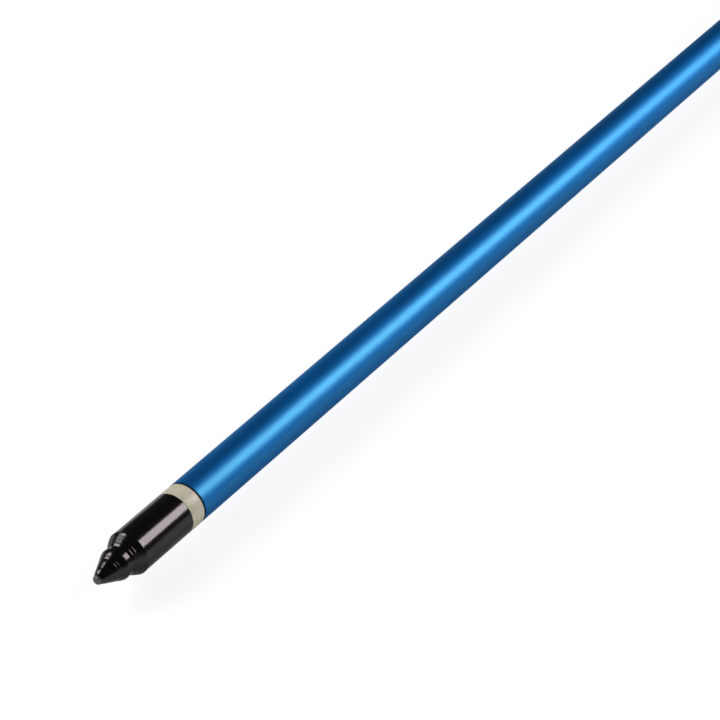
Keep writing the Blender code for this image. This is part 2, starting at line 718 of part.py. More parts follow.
def build_rivet(name, side, finish):
    """A blind rivet: dome outside the socket, shank through socket and tube, bulb inside the tube."""
    seat = RIVET_PAD_HEIGHT + FACE_GAP
    bulb_top = math.sqrt(INNER_BORE**2 - RIVET_BULB_RADIUS**2) - FACE_GAP
    profile = [(seat + RIVET_HEAD_HEIGHT, 0.0)]
    profile += [(seat + RIVET_HEAD_HEIGHT, 1.2), (seat + 0.75 * RIVET_HEAD_HEIGHT, 2.3)]
    profile += [(seat + 0.3 * RIVET_HEAD_HEIGHT, 3.0), (seat, RIVET_HEAD_RADIUS), (seat, RIVET_RADIUS)]
    profile += [(bulb_top, RIVET_RADIUS), (bulb_top - 0.3, RIVET_BULB_RADIUS)]
    profile += [(bulb_top - 2.2, RIVET_BULB_RADIUS), (bulb_top - 3.0, RIVET_RADIUS), (bulb_top - 3.0, 0.0)]
    mesh = lathe(profile, segments=SMALL_SEGMENTS)
    turn = Matrix.Rotation(-side * math.pi / 2, 4, "Y")
    place = Matrix.Translation(Vector((HEAD_START + RIVET_X, 0, 0)) * MM)
    bmesh.ops.transform(mesh, matrix=place @ turn, verts=mesh.verts)
    return add_object(name, mesh, finish)


def build_head_seal(finish):
    end = HEAD_START + SOCKET_DEPTH - FACE_GAP
    start = end - SEAL_THICKNESS
    profile = [(start, 4.0), (start, INNER_RADIUS - PRESS_GAP), (end, INNER_RADIUS - PRESS_GAP), (end, 4.0)]
    return add_object("head_seal", lathe(profile, segments=32), finish)


# ---------------------------------------------------------------- assembly


def build():
    for old in list(bpy.data.objects):
        bpy.data.objects.remove(old)
    finish = make_materials()
    build_butt_point(finish["gloss_black"])
    build_butt_insert(finish["natural_nylon"])
    build_butt_gasket(finish["rubber"])
    build_o_ring("insert_o_ring", *o_ring_seat(), TUBE_BORE, finish["rubber"])
    build_outer_tube(finish["blue_anodised"])
    build_lock_body(finish["black_nylon"])
    build_wedge_ring(finish["natural_nylon"])
    build_lock_nut(finish["black_nylon"])
    build_nut_stop_ring(finish["stainless"])
    build_nut_wiper(finish["rubber"])
    build_inner_tube(finish["clear_anodised"])
    build_end_plug(finish["black_nylon"])
    build_plug_pin(finish["stainless"])
    build_o_ring("plug_o_ring", *foot_seat(), INNER_BORE, finish["rubber"])
    build_guide_bush(finish["natural_nylon"])
    build_rubber_buffer(finish["rubber"])
    build_foam_plug(finish["foam"])
    build_hook_head(finish["black_nylon"])
    build_rivet("head_rivet_upper", 1, finish["stainless"])
    build_rivet("head_rivet_lower", -1, finish["stainless"])
    build_head_seal(finish["rubber"])


build()
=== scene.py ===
"""The boat hook's looks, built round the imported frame.

The pole lies along X with the centre of its blunt butt at the origin. Outlines are in millimetres, each
measured from its own CAD node's box, and the meshes are made in metres.
"""

import json
import math

import bmesh
import bpy
from mathutils import Euler, Matrix, Vector


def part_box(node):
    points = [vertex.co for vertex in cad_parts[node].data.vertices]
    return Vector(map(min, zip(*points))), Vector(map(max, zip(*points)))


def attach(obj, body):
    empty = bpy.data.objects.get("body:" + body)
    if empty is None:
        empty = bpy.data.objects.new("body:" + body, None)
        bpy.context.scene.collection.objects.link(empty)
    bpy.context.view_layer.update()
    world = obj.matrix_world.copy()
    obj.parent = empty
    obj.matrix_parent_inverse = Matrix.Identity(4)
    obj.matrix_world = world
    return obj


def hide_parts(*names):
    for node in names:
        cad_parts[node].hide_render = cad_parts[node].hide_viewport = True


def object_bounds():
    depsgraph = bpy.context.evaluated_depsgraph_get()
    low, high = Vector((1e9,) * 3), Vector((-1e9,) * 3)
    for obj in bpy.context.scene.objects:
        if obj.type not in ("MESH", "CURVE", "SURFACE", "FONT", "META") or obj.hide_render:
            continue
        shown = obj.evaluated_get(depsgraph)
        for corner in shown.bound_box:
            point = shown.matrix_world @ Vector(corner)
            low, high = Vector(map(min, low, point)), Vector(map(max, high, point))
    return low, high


MM = 0.001
SHARP = math.radians(50)
TURN = 2 * math.pi
ON_AXIS = 1e-6

# A rounded corner uses at most this share of each side it joins.
CORNER_LIMIT = 0.48

# Sides of the turned meshes.
HANDLE_SIDES = 160
EXTENSION_SIDES = 128
LOCK_BODY_SIDES = 200
NUT_SIDES = 240
HEAD_SIDES = 96
RIVET_SIDES = 48

# Clearances: between end faces, between pressed pieces, round the point's spigot and round the extension.
FACE_GAP = 0.05
PRESS_GAP = 0.1
SPIGOT_GAP = 0.15
RUNNING_GAP = 0.12

# Camera: the pole runs up and away to the right, seen from behind and above its butt.
LENS = 150.0
CAMERA_BACK = 0.914
CAMERA_SIDE = 0.758
CAMERA_UP = 0.945
CAMERA_PITCH = 34.468
CAMERA_YAW = 56.749

# Butt point, from its blunt end. The cone's slope changes a little at each (x, radius) of its outline.
FACE_RADIUS = 1.6
CONE = (
    (0.45, 2.36),
    (2.6, 3.15),
    (4.3, 4.08),
    (5.8, 4.65),
    (9.2, 6.18),
    (10.8, 6.74),
    (12.5, 7.64),
    (14.4, 8.55),
    (15.9, 9.05),
)
CONE_GROOVE_X = 12.5
CONE_GROOVE_DEPTH = 0.26
CONE_GROOVE_HALF_WIDTH = 0.25
LAND_END = 17.0
LAND_RADIUS = 9.05
NECK_RADIUS = 8.75
NECK_END = 19.8
SHOULDER = ((20.1, 8.8), (24.5, 11.38), (27.05, 12.64))
SHOULDER_ROUND = 1.5

# Narrow shelves turned into the cone and the shoulder: where each starts, its width and its slope. A riser
# ends each one.
CONE_SHELVES = ((10.6, 0.42, 0.0),)
SHOULDER_SHELVES = (
    (21.35, 0.44, 0.0),
    (22.25, 0.36, 0.2),
    (23.1, 0.44, 0.0),
    (24.05, 0.42, 0.22),
    (25.0, 0.46, 0.25),
)
RISER = 0.12

# The finely divided parts of the outline: the cone's starts CONE_SKIP past its first point, and the
# shoulder's ends SHOULDER_SKIP before the bead.
KNEE_ROUND = 0.5
CONE_SKIP = 0.7
CONE_STEPS = 180
SHOULDER_SKIP = 0.4
SHOULDER_STEPS = 110

BEAD_START = 27.05
BEAD_END = 27.85
BEAD_RADIUS = 12.64
BEAD_TAPER = 1.7
BODY_RADIUS = 12.48
SPIGOT_RADIUS = 7.0

# Rolled grooves in the handle tube, back from its mouth.
TUBE_WALL = 1.0
ROLLED_GROOVES = (100.0, 22.0)
ROLLED_DEPTH = 0.75
ROLLED_FLAT = 2.0
ROLLED_RAMP = 1.5

# Twist lock: the fixed body, from the mouth of the handle tube.
COLLAR_RADIUS = 15.2
COLLAR_LIP = 1.2
COLLAR_RAMP = 5.0
STOP_BACK = 20.0
STOP_WIDTH = 3.0
STOP_NOTCHES = 40
NOTCH_DEPTH = 0.35
THREAD_BACK = 10.0
THREAD_FRONT = 4.0
THREAD_LEAD = 5.0
THREAD_DEPTH = 1.0
THREAD_RUNOUT = 2.0
COLLET_RADIUS = 14.4
COLLET_CONE_START = 14.0
COLLET_TIP_RADIUS = 12.9

# Twist lock: the nut.
NUT_BORE = 16.6
NUT_MOUTH_RADIUS = 12.2
NUT_WALL_FRONT = 31.55
NUT_FLUTES = 10
FLUTE_DEPTH = 1.1
FLUTE_RUNOUT = 5.0
FLUTE_STEPS = 44
NUT_BAND_DEPTH = 1.0
RING_GROOVE_RADIUS = 17.4
WIPER_GROOVE_RADIUS = 13.6

# Hook head, from the back of its socket.
SOCKET_RADIUS = 14.0
SOCKET_LENGTH = 42.0
SOCKET_DEPTH = 40.0
SOCKET_TAPER_END = 66.0
SOCKET_TIP_RADIUS = 8.0
RIVET_X = 21.0
RIVET_RADIUS = 1.6
RIVET_FOOT = 6.3
RIVET_HEAD_HEIGHT = 1.3
RIVET_SEAT_GAP = 0.02
PAD_LENGTH = 24.0
PAD_HALF_WIDTH = 20.0
PAD_HEIGHT = 13.0
PAD_CUT = 4.0
SHANK_START = 46.0
SHANK_HALF_WIDTH = 8.5
SHANK_HALF_HEIGHT = 8.0
EDGE_ROUND = 3.2
NOSE_X = 146.0
BEND_X = 104.0
BEND_INNER = 14.0
BEND_OUTER = 29.5
BEND_FILLET = 6.0
HOOK_END_X = 74.0
HOOK_FLARE = 1.5
HOOK_TIP_RADIUS = 6.0
POCKET_START = 78.0
POCKET_END = 122.0
POCKET_HALF_WIDTH = 3.4
POCKET_DEPTH = 1.6
EDGE_STEPS = 6
HEAD_VOXEL = 0.7
HEAD_SMOOTHING = 0.5
HEAD_SMOOTH_PASSES = 5

# Colours of the lights.
WHITE = (1.0, 1.0, 1.0)
ROSE = (1.0, 0.95, 0.95)

# Colours of the two tubes: the film, its darker patches and the sharp shine over it.
BLUE = (0.0, 0.245, 0.79)
DARK_BLUE = (0.0, 0.205, 0.69)
BLUE_SHINE = (0.25, 0.76, 0.60)
SILVER = (0.66, 0.67, 0.69)
DARK_SILVER = (0.56, 0.57, 0.59)
SILVER_SHINE = (0.9, 0.9, 0.9)

# The tubes' sharp shine: its share of the surface, and its roughness as a share of the film's.
SHINE_SHARE = 0.14
SHINE_ROUGHNESS = 0.64

# Noise that isn't stretched in any direction.
EVEN = (1.0, 1.0, 1.0)

# Floor and surround: grey levels, and sizes in metres.
FLOOR_HALF_SIZE = 40.0
FLOOR_DROP = 0.0002
FLOOR_GLOW = 0.84
FLOOR_BOUNCE = (0.63, 0.63, 0.63, 1.0)
SURROUND_WHITE = (0.98, 0.98, 0.98, 1.0)

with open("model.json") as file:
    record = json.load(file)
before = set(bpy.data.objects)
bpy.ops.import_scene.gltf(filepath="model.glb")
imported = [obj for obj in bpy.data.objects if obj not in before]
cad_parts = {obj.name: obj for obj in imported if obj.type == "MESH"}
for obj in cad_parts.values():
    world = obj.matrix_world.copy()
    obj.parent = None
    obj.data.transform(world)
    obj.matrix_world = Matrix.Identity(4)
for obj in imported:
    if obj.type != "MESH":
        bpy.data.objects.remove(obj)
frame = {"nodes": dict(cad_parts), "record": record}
cad_low, cad_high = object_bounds()
scene = bpy.context.scene


def edges(node):
    """Where a CAD node starts and ends along the pole, in millimetres."""
    low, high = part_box(node)
    return low.x / MM, high.x / MM


# ---------------------------------------------------------------- materials


class Graph:
    """Short calls for building one node tree."""

    def __init__(self, tree):
        self.tree = tree
        self.tree.nodes.clear()

    def add(self, kind, inputs=None, **settings):
        """A new node, with its inputs and settings filled in."""
        node = self.tree.nodes.new(kind)
        for key, value in settings.items():
            setattr(node, key, value)
        for key, value in (inputs or {}).items():
            self.set(node.inputs[key], value)
        return node

    def set(self, socket, value):
        """Links a node or a socket to an input, or gives the input a plain value."""
        if isinstance(value, bpy.types.NodeSocket):
            self.tree.links.new(value, socket)
        elif isinstance(value, bpy.types.Node):
            self.tree.links.new(value.outputs[0], socket)
        else:
            socket.default_value = value

    def coords(self, scale):
        """Object coordinates in metres, stretched by scale."""
        place = self.add("ShaderNodeTexCoord")
        return self.add("ShaderNodeMapping", {"Vector": place.outputs["Object"], "Scale": scale})

    def along(self):
        """Distance along the pole, in metres."""
        parts = self.add("ShaderNodeSeparateXYZ", {"Vector": self.coords(EVEN)})
        return parts.outputs["X"]

    def noise(self, scale, size, detail=4.0, rough=0.5):
        """Noise whose features are about 1 / size of a metre across, stretched by scale."""
        where = self.coords(scale)
        names = {"Vector": where, "Scale": size, "Detail": detail, "Roughness": rough}
        return self.add("ShaderNodeTexNoise", names)

    def between(self, value, low, high, from_low=0.0, from_high=1.0):
        """value, remapped to the range low to high."""
        names = {"Value": value, "From Min": from_low, "From Max": from_high, "To Min": low, "To Max": high}
        return self.add("ShaderNodeMapRange", names)

    def ramp(self, value, *stops):
        """value, turned to colours. Each stop is a place from 0 to 1 and a colour."""
        node = self.add("ShaderNodeValToRGB", {"Fac": value})
        while len(node.color_ramp.elements) < len(stops):
            node.color_ramp.elements.new(0.5)
        for element, (place, colour) in zip(node.color_ramp.elements, stops):
            element.position = place
            element.color = (*colour, 1.0)
        return node

    def mix(self, share, first, second):
        """One colour fading into another as share goes from 0 to 1. A mix node keeps its colours at inputs 6
        and 7, and its mixed colour at output 2."""
        node = self.add("ShaderNodeMix", data_type="RGBA")
        self.set(node.inputs["Factor"], share)
        self.set(node.inputs[6], first)
        self.set(node.inputs[7], second)
        return node.outputs[2]

    def maths(self, operation, a, b):
        """One step of arithmetic on two values."""
        return self.add("ShaderNodeMath", {0: a, 1: b}, operation=operation)

    def bump(self, height, distance, under=None, strength=1.0):
        """Bumps distance metres high, on top of those given as under."""
        names = {"Height": height, "Distance": distance, "Strength": strength}
        if under is not None:
            names["Normal"] = under
        return self.add("ShaderNodeBump", names)


def new_material(name):
    """An empty material and the graph that fills it."""
    made = bpy.data.materials.new(name)
    made.use_nodes = True
    return made, Graph(made.node_tree)


def finish_material(graph, inputs):
    """Ends a material in one principled shader."""
    shader = graph.add("ShaderNodeBsdfPrincipled", inputs)
    graph.add("ShaderNodeOutputMaterial", {"Surface": shader.outputs[0]})


def anodised(name, light, dark, roughness, shine):
    """Drawn aluminium tube under a thin oxide film: a soft coloured sheen with a sharper, paler one over
    it, fine lines along the tube, faint clouding and a few specks."""
    made, graph = new_material(name)
    lines = graph.noise((1.2, 60.0, 60.0), 40.0, detail=6.0, rough=0.65)
    cloud = graph.noise((6.0, 40.0, 40.0), 3.0, detail=3.0)
    specks = graph.noise(EVEN, 1500.0, detail=1.0)
    tone = graph.maths("ADD", graph.maths("MULTIPLY", lines, 0.5), graph.maths("MULTIPLY", cloud, 0.5))
    colour = graph.ramp(tone, (0.35, dark), (0.65, light))
    rough = graph.between(tone, roughness - 0.05, roughness + 0.05, 0.35, 0.65)
    pits = graph.between(specks, 0.0, 1.0, 0.70, 0.76)
    fine = graph.bump(lines, 0.00002, strength=0.6)
    surface = graph.bump(pits, 0.00004, fine, strength=0.5)
    names = {"Base Color": colour, "Metallic": 1.0, "Roughness": rough, "Normal": surface}
    film = graph.add("ShaderNodeBsdfPrincipled", names)
    names = {"Color": (*shine, 1.0), "Roughness": SHINE_ROUGHNESS * roughness, "Normal": surface}
    gloss = graph.add("ShaderNodeBsdfGlossy", names)
    mix = graph.add("ShaderNodeMixShader", {0: SHINE_SHARE, 1: film, 2: gloss})
    graph.add("ShaderNodeOutputMaterial", {"Surface": mix.outputs[0]})
    return made


def gloss_black_plastic():
    """Shiny injection-moulded plastic: slight orange peel, fine scuffs round the pole, a little dust, and
    wear on the blunt tip."""
    made, graph = new_material("gloss_black")
    peel = graph.noise(EVEN, 700.0, detail=2.0)
    scuffs = graph.noise((30.0, 1.5, 1.5), 120.0, detail=5.0, rough=0.7)
    dust = graph.noise(EVEN, 2600.0, detail=2.0)
    along = graph.along()
    colour = graph.ramp(dust, (0.55, (0.0030, 0.0025, 0.0027)), (0.75, (0.012, 0.011, 0.010)))
    scrapes = graph.noise((1.0, 0.5, 1.0), 2500.0, detail=5.0, rough=0.6)
    scraped = graph.ramp(scrapes, (0.40, (0.02, 0.02, 0.02)), (0.62, (0.28, 0.28, 0.26)))
    worn = graph.between(along, 1.0, 0.0, 0.0004, 0.0017)
    colour = graph.mix(worn, colour, scraped)
    rough = graph.between(scuffs, 0.12, 0.20, 0.35, 0.65)
    rough = graph.maths("ADD", rough, graph.maths("MULTIPLY", worn, 0.25))
    rippled = graph.bump(peel, 0.00002, strength=0.5)
    surface = graph.bump(scuffs, 0.000008, rippled, strength=0.6)
    finish_material(
        graph,
        {
            "Base Color": colour,
            "Roughness": rough,
            "IOR": 1.62,
            "Specular Tint": (1.0, 0.92, 0.92, 1.0),
            "Normal": surface,
        },
    )
    return made


def natural_nylon():
    """Undyed nylon: slightly waxy and mottled between yellowish and pinkish cream."""
    made, graph = new_material("natural_nylon")
    patches = graph.noise(EVEN, 240.0, detail=4.0, rough=0.7)
    grain = graph.noise(EVEN, 1800.0, detail=3.0)
    cream = (0.66, 0.62, 0.49)
    yellow = (0.56, 0.57, 0.38)
    pink = (0.68, 0.59, 0.51)
    colour = graph.ramp(patches, (0.38, yellow), (0.5, cream), (0.62, pink))
    rough = graph.between(grain, 0.26, 0.40, 0.3, 0.7)
    surface = graph.bump(grain, 0.00003, strength=0.5)
    finish_material(
        graph,
        {
            "Base Color": colour,
            "Roughness": rough,
            "IOR": 1.53,
            "Subsurface Weight": 0.25,
            "Subsurface Radius": (0.0012, 0.001, 0.0006),
            "Subsurface Scale": 1.0,
            "Normal": surface,
        },
    )
    return made


def black_nylon():
    """Glass-filled nylon off a spark-eroded mould: an even fine grain, with edges rubbed a little paler."""
    made, graph = new_material("black_nylon")
    grain = graph.noise(EVEN, 1300.0, detail=3.0, rough=0.6)
    cloud = graph.noise(EVEN, 45.0, detail=3.0)
    shape = graph.add("ShaderNodeNewGeometry")
    edge = graph.between(shape.outputs["Pointiness"], 0.0, 1.0, 0.515, 0.56)
    worn = graph.maths("MULTIPLY", edge, graph.between(cloud, 0.2, 1.0, 0.4, 0.6))
    base = graph.ramp(worn, (0.0, (0.012, 0.012, 0.013)), (1.0, (0.05, 0.05, 0.052)))
    rough = graph.between(graph.maths("ADD", grain, worn), 0.40, 0.60, 0.3, 1.2)
    surface = graph.bump(grain, 0.00006, strength=0.6)
    finish_material(graph, {"Base Color": base, "Roughness": rough, "IOR": 1.53, "Normal": surface})
    return made


def rubber():
    """Moulded black rubber: dull, with a very fine grain."""
    made, graph = new_material("rubber")
    grain = graph.noise(EVEN, 2200.0, detail=2.0)
    colour = graph.ramp(grain, (0.3, (0.006, 0.006, 0.006)), (0.7, (0.014, 0.014, 0.013)))
    rough = graph.between(grain, 0.6, 0.8)
    surface = graph.bump(grain, 0.00004, strength=0.6)
    finish_material(graph, {"Base Color": colour, "Roughness": rough, "Normal": surface})
    return made


def stainless():
    """Turned stainless steel: fine rings and faint clouding."""
    made, graph = new_material("stainless")
    rings = graph.noise((1.0, 1.0, 8.0), 1500.0, detail=4.0)
    cloud = graph.noise(EVEN, 300.0, detail=3.0)
    colour = graph.ramp(cloud, (0.3, (0.50, 0.49, 0.47)), (0.7, (0.62, 0.61, 0.60)))
    rough = graph.between(rings, 0.2, 0.38)
    surface = graph.bump(rings, 0.00001, strength=0.5)
    finish_material(graph, {"Base Color": colour, "Metallic": 1.0, "Roughness": rough, "Normal": surface})
    return made


def foam():
    """Pale closed-cell foam, with its cells showing."""
    made, graph = new_material("foam")
    where = graph.coords(EVEN)
    cells = graph.add("ShaderNodeTexVoronoi", {"Vector": where, "Scale": 1200.0})
    colour = graph.ramp(cells, (0.0, (0.50, 0.50, 0.48)), (0.6, (0.76, 0.77, 0.74)))
    surface = graph.bump(cells, 0.0002, strength=0.7)
    finish_material(graph, {"Base Color": colour, "Roughness": 0.9, "Normal": surface})
    return made


MATERIALS = {
    "blue_anodised": anodised("blue_anodised", BLUE, DARK_BLUE, 0.60, BLUE_SHINE),
    "clear_anodised": anodised("clear_anodised", SILVER, DARK_SILVER, 0.42, SILVER_SHINE),
    "gloss_black": gloss_black_plastic(),
    "natural_nylon": natural_nylon(),
    "black_nylon": black_nylon(),
    "rubber": rubber(),
    "stainless": stainless(),
    "foam": foam(),
}


# ---------------------------------------------------------------- shapes


def rounded(outline, steps=4):
    """An outline of (x, radius) or (x, radius, corner) points, with each corner cut back and curved."""
    points = []
    for i, place in enumerate(outline):
        here = Vector(place[:2])
        if len(place) < 3:
            points.append(tuple(here))
            continue
        before = Vector(outline[i - 1][:2]) - here
        after = Vector(outline[(i + 1) % len(outline)][:2]) - here
        reach = min(place[2], CORNER_LIMIT * before.length, CORNER_LIMIT * after.length)
        start = here + before.normalized() * reach
        end = here + after.normalized() * reach
        for k in range(steps + 1):
            s = k / steps
            points.append(tuple(start * (1 - s) ** 2 + here * (2 * s * (1 - s)) + end * s**2))
    return points


def arc(x, y, radius, start, end, steps):
    """Points on a circular arc about (x, y), from start to end in degrees."""
    points = []
    for i in range(steps + 1):
        angle = math.radians(start + (end - start) * i / steps)
        points.append((x + radius * math.cos(angle), y + radius * math.sin(angle)))
    return points


def line(x_start, r_start, x_end, r_end, steps):
    """Evenly spaced points from one place to another, without the first."""
    return [
        (x_start + (x_end - x_start) * i / steps, r_start + (r_end - r_start) * i / steps)
        for i in range(1, steps + 1)
    ]


def turned_mesh(outline, segments, shape=None):
    """A closed mesh of the outline turned round X. shape(x, radius, angle) gives a point's final radius."""
    mesh = bmesh.new()
    rings = []
    for x, radius in outline:
        if radius < ON_AXIS:
            rings.append([mesh.verts.new((x * MM, 0, 0))] * segments)
            continue
        ring = []
        for k in range(segments):
            angle = TURN * k / segments
            final = shape(x, radius, angle) if shape else radius
            ring.append(mesh.verts.new((x * MM, final * math.cos(angle) * MM, final * math.sin(angle) * MM)))
        rings.append(ring)
    pairs = list(zip(rings, rings[1:]))
    if outline[0][1] > ON_AXIS:
        pairs.append((rings[-1], rings[0]))
    for first, second in pairs:
        for k in range(segments):
            m = (k + 1) % segments
            corners = [first[k], first[m], second[m], second[k]]
            mesh.faces.new(dict.fromkeys(corners))
    bmesh.ops.recalc_face_normals(mesh, faces=mesh.faces)
    return mesh


def add_piece(name, mesh, slot, body, *nodes):
    """Puts a finished mesh in the scene, with its material, on its body, in place of its CAD nodes."""
    data = bpy.data.meshes.new(name)
    mesh.to_mesh(data)
    mesh.free()
    data.shade_smooth()
    data.set_sharp_from_angle(angle=SHARP)
    data.materials.append(MATERIALS[slot])
    piece = bpy.data.objects.new(name, data)
    scene.collection.objects.link(piece)
    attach(piece, body)
    if nodes:
        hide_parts(*nodes)
    return piece


# ---------------------------------------------------------------- butt end


def between_points(points, x):
    """The radius at x on a line through (x, radius) points."""
    for (x_start, r_start), (x_end, r_end) in zip(points, points[1:]):
        if x <= x_end:
            return r_start + (r_end - r_start) * (x - x_start) / (x_end - x_start)
    return points[-1][1]


def shelf_drop(points, shelves, x):
    """How far a shelf lies below a sloping outline at x, back to nothing over the riser that ends it."""
    for start, width, slope in shelves:
        beyond = start + width + RISER - x
        if x > start and beyond > 0:
            level = between_points(points, start) + slope * (x - start)
            return (between_points(points, x) - level) * min(1.0, beyond / RISER)
    return 0.0


def shelved(points, shelves, start, end, steps):
    """Closely spaced points along a sloping outline from start to end, with shelves turned into it."""
    made = []
    for i in range(steps + 1):
        x = start + (end - start) * i / steps
        made.append((x, between_points(points, x) - shelf_drop(points, shelves, x)))
    return made


def cone_outline():
    """The blunt cone, with its knees softened, one shelf and one rounded groove."""
    knees = rounded([CONE[0]] + [(x, radius, KNEE_ROUND) for x, radius in CONE[1:-1]] + [CONE[-1]])
    made = []
    for x, radius in shelved(knees, CONE_SHELVES, CONE[0][0] + CONE_SKIP, CONE[-1][0], CONE_STEPS):
        away = (x - CONE_GROOVE_X) / CONE_GROOVE_HALF_WIDTH
        made.append((x, radius - CONE_GROOVE_DEPTH * math.exp(-(away**2))))
    return made


def point_outline(end, spigot_end):
    """Blunt tip, grooved cone, land, neck, ringed shoulder, bead, body and spigot."""
    outline = [(0, 0), (0, FACE_RADIUS, 0.25), (*CONE[0], 0.4)]
    outline += cone_outline()
    outline += [(LAND_END, LAND_RADIUS, 0.2)]
    outline += [(LAND_END + 0.3, NECK_RADIUS, 0.2), (NECK_END, NECK_RADIUS, 0.3)]
    bulge = rounded([SHOULDER[0], (*SHOULDER[1], SHOULDER_ROUND), SHOULDER[2]])
    shoulder_end = BEAD_START - SHOULDER_SKIP
    outline += shelved(bulge, SHOULDER_SHELVES, SHOULDER[0][0], shoulder_end, SHOULDER_STEPS)
    outline += [(BEAD_START, BEAD_RADIUS, 0.5), (BEAD_END, BEAD_RADIUS, 0.5)]
    outline += [(BEAD_END + BEAD_TAPER, BODY_RADIUS, 1.0)]
    outline += [(end, BODY_RADIUS, 0.2), (end, SPIGOT_RADIUS)]
    outline += [(spigot_end - 1, SPIGOT_RADIUS, 0.3), (spigot_end, SPIGOT_RADIUS - 1, 0.3), (spigot_end, 0)]
    return rounded(outline)


def build_butt():
    """The black point, the pale insert behind it and the dark gasket between insert and tube."""
    point_start, spigot_end = edges("butt_point")
    ring_start, insert_end = edges("butt_insert")
    gasket_start, gasket_end = edges("butt_gasket")
    point_end = ring_start - FACE_GAP
    outline = point_outline(point_end - point_start, spigot_end - point_start)
    mesh = turned_mesh(outline, HANDLE_SIDES)
    add_piece("butt_point", mesh, "gloss_black", "handle", "butt_point")

    tube_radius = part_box("outer_tube")[1].z / MM
    plug_radius = tube_radius - TUBE_WALL - PRESS_GAP
    bore = SPIGOT_RADIUS + SPIGOT_GAP
    ring_end = gasket_start - FACE_GAP
    outline = [(ring_start, bore), (ring_start, tube_radius, 0.2), (ring_end, tube_radius, 0.4)]
    outline += [(ring_end, plug_radius, 0.1), (insert_end - 2, plug_radius, 0.3)]
    outline += [(insert_end, plug_radius - 1.2, 0.3), (insert_end, bore)]
    mesh = turned_mesh(rounded(outline), HANDLE_SIDES)
    add_piece("butt_insert", mesh, "natural_nylon", "handle", "butt_insert")

    gasket_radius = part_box("butt_gasket")[1].z / MM
    inner = tube_radius - TUBE_WALL + FACE_GAP
    outline = [(gasket_start, inner), (gasket_start, gasket_radius, 0.15)]
    outline += [(gasket_end, gasket_radius, 0.15), (gasket_end, inner)]
    mesh = turned_mesh(rounded(outline), HANDLE_SIDES)
    add_piece("butt_gasket", mesh, "rubber", "handle", "butt_gasket")


# ---------------------------------------------------------------- tubes


def tube_side(start, mouth, radius):
    """One side of the handle tube's wall, with its rolled grooves."""
    low = radius - ROLLED_DEPTH
    points = [(start, radius, 0.2)]
    points += line(start + 1, radius, mouth - ROLLED_GROOVES[0] - 1, radius, 12)
    for back in ROLLED_GROOVES:
        first = mouth - back
        flat = first + ROLLED_RAMP
        points += [(first, radius, 0.8), (flat, low, 0.8)]
        points += [(flat + ROLLED_FLAT, low, 0.8), (flat + ROLLED_FLAT + ROLLED_RAMP, radius, 0.8)]
    return points + [(mouth, radius, 0.2)]


def build_tubes():
    """The blue handle tube and the plain extension tube."""
    start, mouth = edges("outer_tube")
    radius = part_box("outer_tube")[1].z / MM
    outline = rounded(tube_side(start, mouth, radius))
    outline += reversed(rounded(tube_side(start, mouth, radius - TUBE_WALL)))
    mesh = turned_mesh(outline, HANDLE_SIDES)
    add_piece("outer_tube", mesh, "blue_anodised", "handle", "outer_tube")

    start, end = edges("inner_tube")
    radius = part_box("inner_tube")[1].z / MM
    bore = radius - TUBE_WALL
    outline = [(start, bore), (start, radius, 0.2)]
    outline += line(start + 1, radius, end - 1, radius, 12) + [(end, radius, 0.2), (end, bore)]
    mesh = turned_mesh(rounded(outline), EXTENSION_SIDES)
    add_piece("inner_tube", mesh, "clear_anodised", "extension", "inner_tube")


# ---------------------------------------------------------------- twist lock


def with_rim_rings(outline, stop, stop_radius):
    """The outline, with more points along the stop's rim, so that its notches have something to bend."""
    extra = [(stop + 0.5 + 0.25 * i, stop_radius) for i in range(1, 8)]
    at = max(i for i, (x, radius) in enumerate(outline) if x < stop + 0.9 and radius > stop_radius - 0.01)
    fitting = [place for place in extra if outline[at][0] < place[0] < stop + 2.5]
    return outline[: at + 1] + fitting + outline[at + 1 :]


